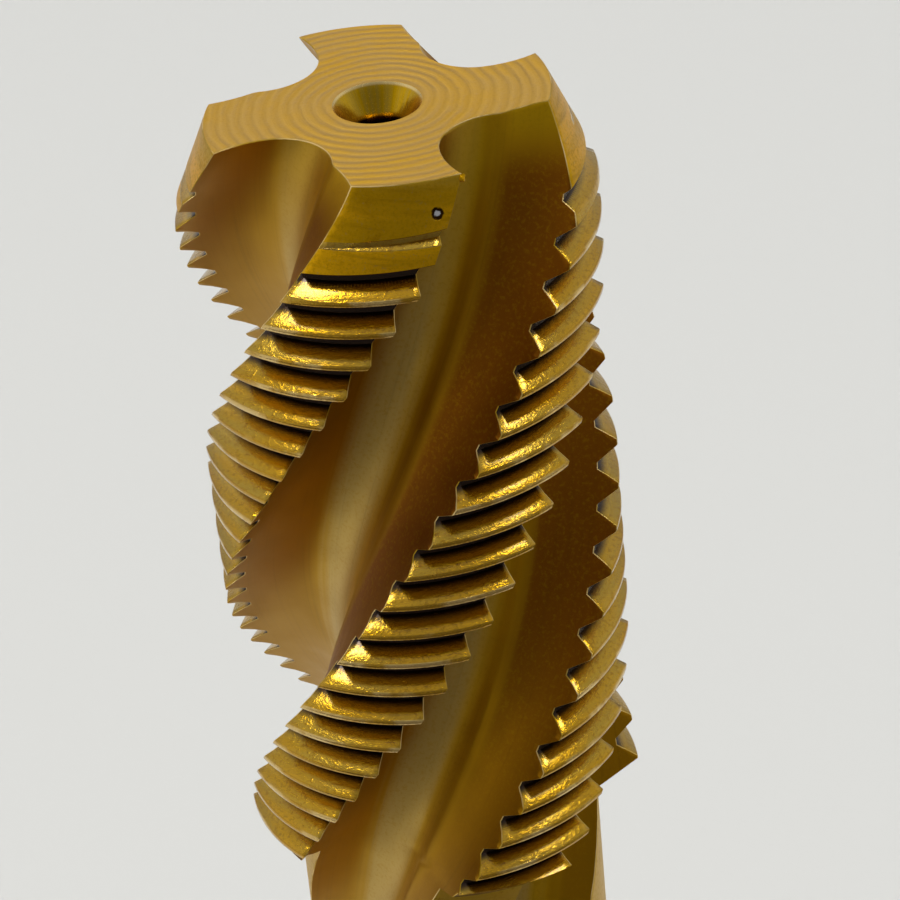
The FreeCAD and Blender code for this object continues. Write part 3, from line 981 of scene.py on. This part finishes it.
def flute_finish(finish, look):
    """Ground flute, its tones painted reflections laid by place: brown cutting face, pale band along the
    bottom, deep russet up the heel side.
    """
    tree = finish.tree
    lines, bands = finish.lines(6.0, 16.0)
    grains, clouds = finish.speckle(6.0)
    place = parts_of(tree, finish.grain)
    shift = math_node(tree, "MULTIPLY_ADD", bands, 1.6, -0.8)
    across, height = math_node(tree, "ADD", place["X"], shift), place["Y"]
    # Painted reflection: a pale band along the bottom of the flute, fainter near the tip.
    stripe = product(tree, map_range(tree, across, 5.2, 5.8), map_range(tree, across, 8.6, 7.2),
                     map_range(tree, height, -1.0, -10.0, 0.3, 1.0))
    # Painted dark reflection up the heel side: russet, turning towards brown further from the tip.
    heel = map_range(tree, across, 7.9, 9.9)
    lower = map_range(tree, height, -22.0, -34.0, 0.0, 0.65)
    heel_dark_reflection = mix_colour(tree, lower, opaque(look.russet), opaque(look.brown))
    # Painted reflections laid by place across the flute: brown ground, olive across the middle, the pale
    # band, the dark heel side, and olive on the heel side near the tip.
    finish.begin(look.brown)
    finish.lay_where(across, 4.0, 8.0, look.olive)
    finish.lay(stripe, look.pale_reflection)
    finish.tone = mix_colour(tree, heel, finish.tone, heel_dark_reflection)
    finish.lay(product(tree, heel, map_range(tree, height, -2.8, -0.2)), look.olive)
    finish.lay_where(lines, 0.5, 0.8, look.shade_and_marks, most=0.15)
    finish.lay_where(grains, 0.48, 0.7, look.brown, most=0.35)
    finish.use_tone()
    finish.roughness(clouds, look.polish, look.polish + 0.12)
    finish.coat(look.haze, look.polish)
    finish.bump(math_node(tree, "ADD", lines, grains), 0.002 * MM)


def shank_finish(finish, look):
    """Ground shank with fine lines round it."""
    lines, bands = finish.lines(10.0, 12.0)
    grains, clouds = finish.speckle(6.0)
    finish.begin(look.gold)
    finish.lay_where(bands, 0.3, 0.7, look.pale, most=0.6, least=0.2)
    finish.lay_where(clouds, 0.4, 0.7, look.mustard, most=0.25)
    finish.lay_where(lines, 0.5, 0.75, look.brown, most=0.35)
    finish.lay_where(grains, 0.55, 0.7, look.russet, most=0.35)
    finish.use_tone()
    finish.roughness(grains, look.polish, look.polish + 0.12)
    finish.bump(lines, 0.002 * MM)


def edge_finish(finish, look):
    """Honed edges, pale gold in patches: a painted highlight."""
    grains, clouds = finish.speckle(5.0)
    finish.begin(look.gold)
    # Painted highlight: pale gold in patches along the edges.
    finish.lay_where(clouds, 0.4, 0.6, look.edge)
    finish.use_tone()
    finish.roughness(grains, look.satin, look.satin + 0.15)


def centre_hole_finish(finish, look):
    """Drilled cone with marks running down it, a painted highlight round its rim and painted shade, black,
    down in the pilot.
    """
    tree = finish.tree
    grains, _ = finish.speckle(8.0)
    parts = parts_of(tree, finish.object)
    turn = math_node(tree, "ARCTAN2", parts["Y"], parts["X"])
    ring = vector_of(tree, X=math_node(tree, "SINE", turn), Y=math_node(tree, "COSINE", turn))
    marks = noise(tree, ring, 7.0)
    reach = radius_from(tree, finish.object)
    finish.begin(look.olive)
    finish.lay_where(marks, 0.4, 0.6, look.gold)
    # Painted highlight round the rim.
    finish.lay_where(reach, CENTRE_RIM - 0.07, CENTRE_RIM - 0.01, look.edge)
    # Painted shade down in the pilot.
    finish.lay_where(reach, PILOT + 0.1, PILOT + 0.02, look.shade_and_marks)
    finish.use_tone()
    finish.roughness(grains, look.bright, look.bright + 0.15)
    finish.bump(marks, 0.01 * MM)


FINISHES = (end_face_finish, lead_finish, thread_finish, flute_finish, shank_finish, edge_finish,
            centre_hole_finish)


def build_materials(look):
    groups = {"grinding": grinding_group(), "speckle": speckle_group()}
    materials = []
    for zone, make in zip(ZONES, FINISHES):
        finish = Finish(zone, groups)
        make(finish, look)
        materials.append(finish.material)
    return materials


def add_object(name, data):
    item = bpy.data.objects.new(name, data)
    bpy.context.scene.collection.objects.link(item)
    return item


class TAP_OT_build(bpy.types.Operator):
    """Build the tap: lands, flutes, thread, shank, square and centre holes, with its coating"""

    bl_idname = "spiral_tap.build"
    bl_label = "Build tap"

    def execute(self, context):
        mesh = build_tap(context.scene.tap_sizes)
        for material in build_materials(context.scene.tap_coating):
            mesh.materials.append(material)
        tap = add_object("tap_body", mesh)
        smooth = tap.modifiers.new("weighted_normals", "WEIGHTED_NORMAL")
        smooth.keep_sharp = True
        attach(tap, "root")
        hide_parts(TAP_NODE)
        return {"FINISHED"}


def add_sheet(name, corners, colour_value):
    """Add a flat matt sheet of the studio."""
    mesh = bpy.data.meshes.new(name)
    mesh.from_pydata(corners, [], [(0, 1, 2, 3)])
    material, shader = new_material(f"studio_{name}")
    shader.inputs["Roughness"].default_value = 0.8
    shader.inputs["Base Color"].default_value = opaque(colour_value)
    mesh.materials.append(material)
    return add_object(name, mesh)


def add_lamp(name, location, target, size, power):
    lamp = bpy.data.lights.new(name, "AREA")
    lamp.shape = "RECTANGLE"
    lamp.size, lamp.size_y = size
    lamp.energy = power
    holder = add_object(name, lamp)
    holder.location = location
    direction = Vector(target) - Vector(location)
    holder.rotation_euler = direction.to_track_quat("-Z", "Y").to_euler()
    holder.visible_glossy = False


def studio_air(look):
    """Even light from all round, with soft bright patches where walls and a window would be."""
    world = bpy.data.worlds.new("studio_air")
    world.use_nodes = True
    tree = world.node_tree
    direction = add_node(tree, "ShaderNodeTexCoord").outputs["Generated"]
    total = look.air_strength
    for name, towards, half_width, gain in AIR_LOBES:
        axis = Vector(towards).normalized()
        dot = vector_node(tree, "DOT_PRODUCT", direction, axis, label=name)["Value"]
        rim = math.cos(half_width * DEG)
        total = math_node(tree, "ADD", total, map_range(tree, dot, rim, 1.0, 0.0, gain))
    background = tree.nodes["Background"]
    background.inputs["Color"].default_value = opaque(look.air)
    tree.links.new(total, background.inputs["Strength"])
    return world


def add_card(look):
    """A dark card on the floor before the tap, seen only in its reflections."""
    card = add_sheet("dark_card", [(x, y, MM) for x, y in CARD_CORNERS], look.card)
    card.visible_camera = False
    card.visible_diffuse = False
    card.visible_shadow = False


class TAP_OT_studio(bpy.types.Operator):
    """Lay the pale floor, hang the soft lamps and set the camera"""

    bl_idname = "spiral_tap.studio"
    bl_label = "Set up studio"

    def execute(self, context):
        look = context.scene.tap_studio
        half = FLOOR_SIZE / 2
        corners = [(x * half, y * half, 0) for x, y in ((-1, -1), (1, -1), (1, 1), (-1, 1))]
        floor = add_sheet("floor", corners, look.floor)
        for name, location, size, power in LAMPS:
            add_lamp(name, location, (0, 0, CAD_LENGTH), size, power)
        context.scene.world = studio_air(look)
        add_card(look)
        camera = add_object("camera", bpy.data.cameras.new("camera"))
        camera.data.sensor_width = 36
        camera.data.lens = look.lens
        camera.location = CAMERA_PLACE
        camera.rotation_euler = [value * DEG for value in CAMERA_TURN]
        context.scene.camera = camera
        context.scene.view_settings.view_transform = "Standard"
        return {"FINISHED"}


class TAP_PT_panel(bpy.types.Panel):
    """Sizes and looks of the tap, with its build steps"""

    bl_idname = "TAP_PT_panel"
    bl_label = "Spiral flute tap"
    bl_space_type = "VIEW_3D"
    bl_region_type = "UI"
    bl_category = "Spiral tap"

    def draw(self, context):
        scene = context.scene
        for operator in OPERATORS:
            self.layout.operator(operator.bl_idname)
        for group in (scene.tap_sizes, scene.tap_coating, scene.tap_studio):
            box = self.layout.box()
            for name in group.__annotations__:
                box.prop(group, name)


GROUPS = {"tap_sizes": TapSizes, "tap_coating": CoatingLook, "tap_studio": StudioLook}
OPERATORS = (TAP_OT_build, TAP_OT_studio)


def register():
    for item in (*GROUPS.values(), *OPERATORS, TAP_PT_panel):
        bpy.utils.register_class(item)
    for name, group in GROUPS.items():
        setattr(bpy.types.Scene, name, PointerProperty(type=group))


def unregister():
    for name in GROUPS:
        delattr(bpy.types.Scene, name)
    for item in (TAP_PT_panel, *reversed(OPERATORS), *reversed(GROUPS.values())):
        bpy.utils.unregister_class(item)


def main():
    register()
    bpy.ops.spiral_tap.build()
    bpy.ops.spiral_tap.studio()


if __name__ == "__main__":
    main()
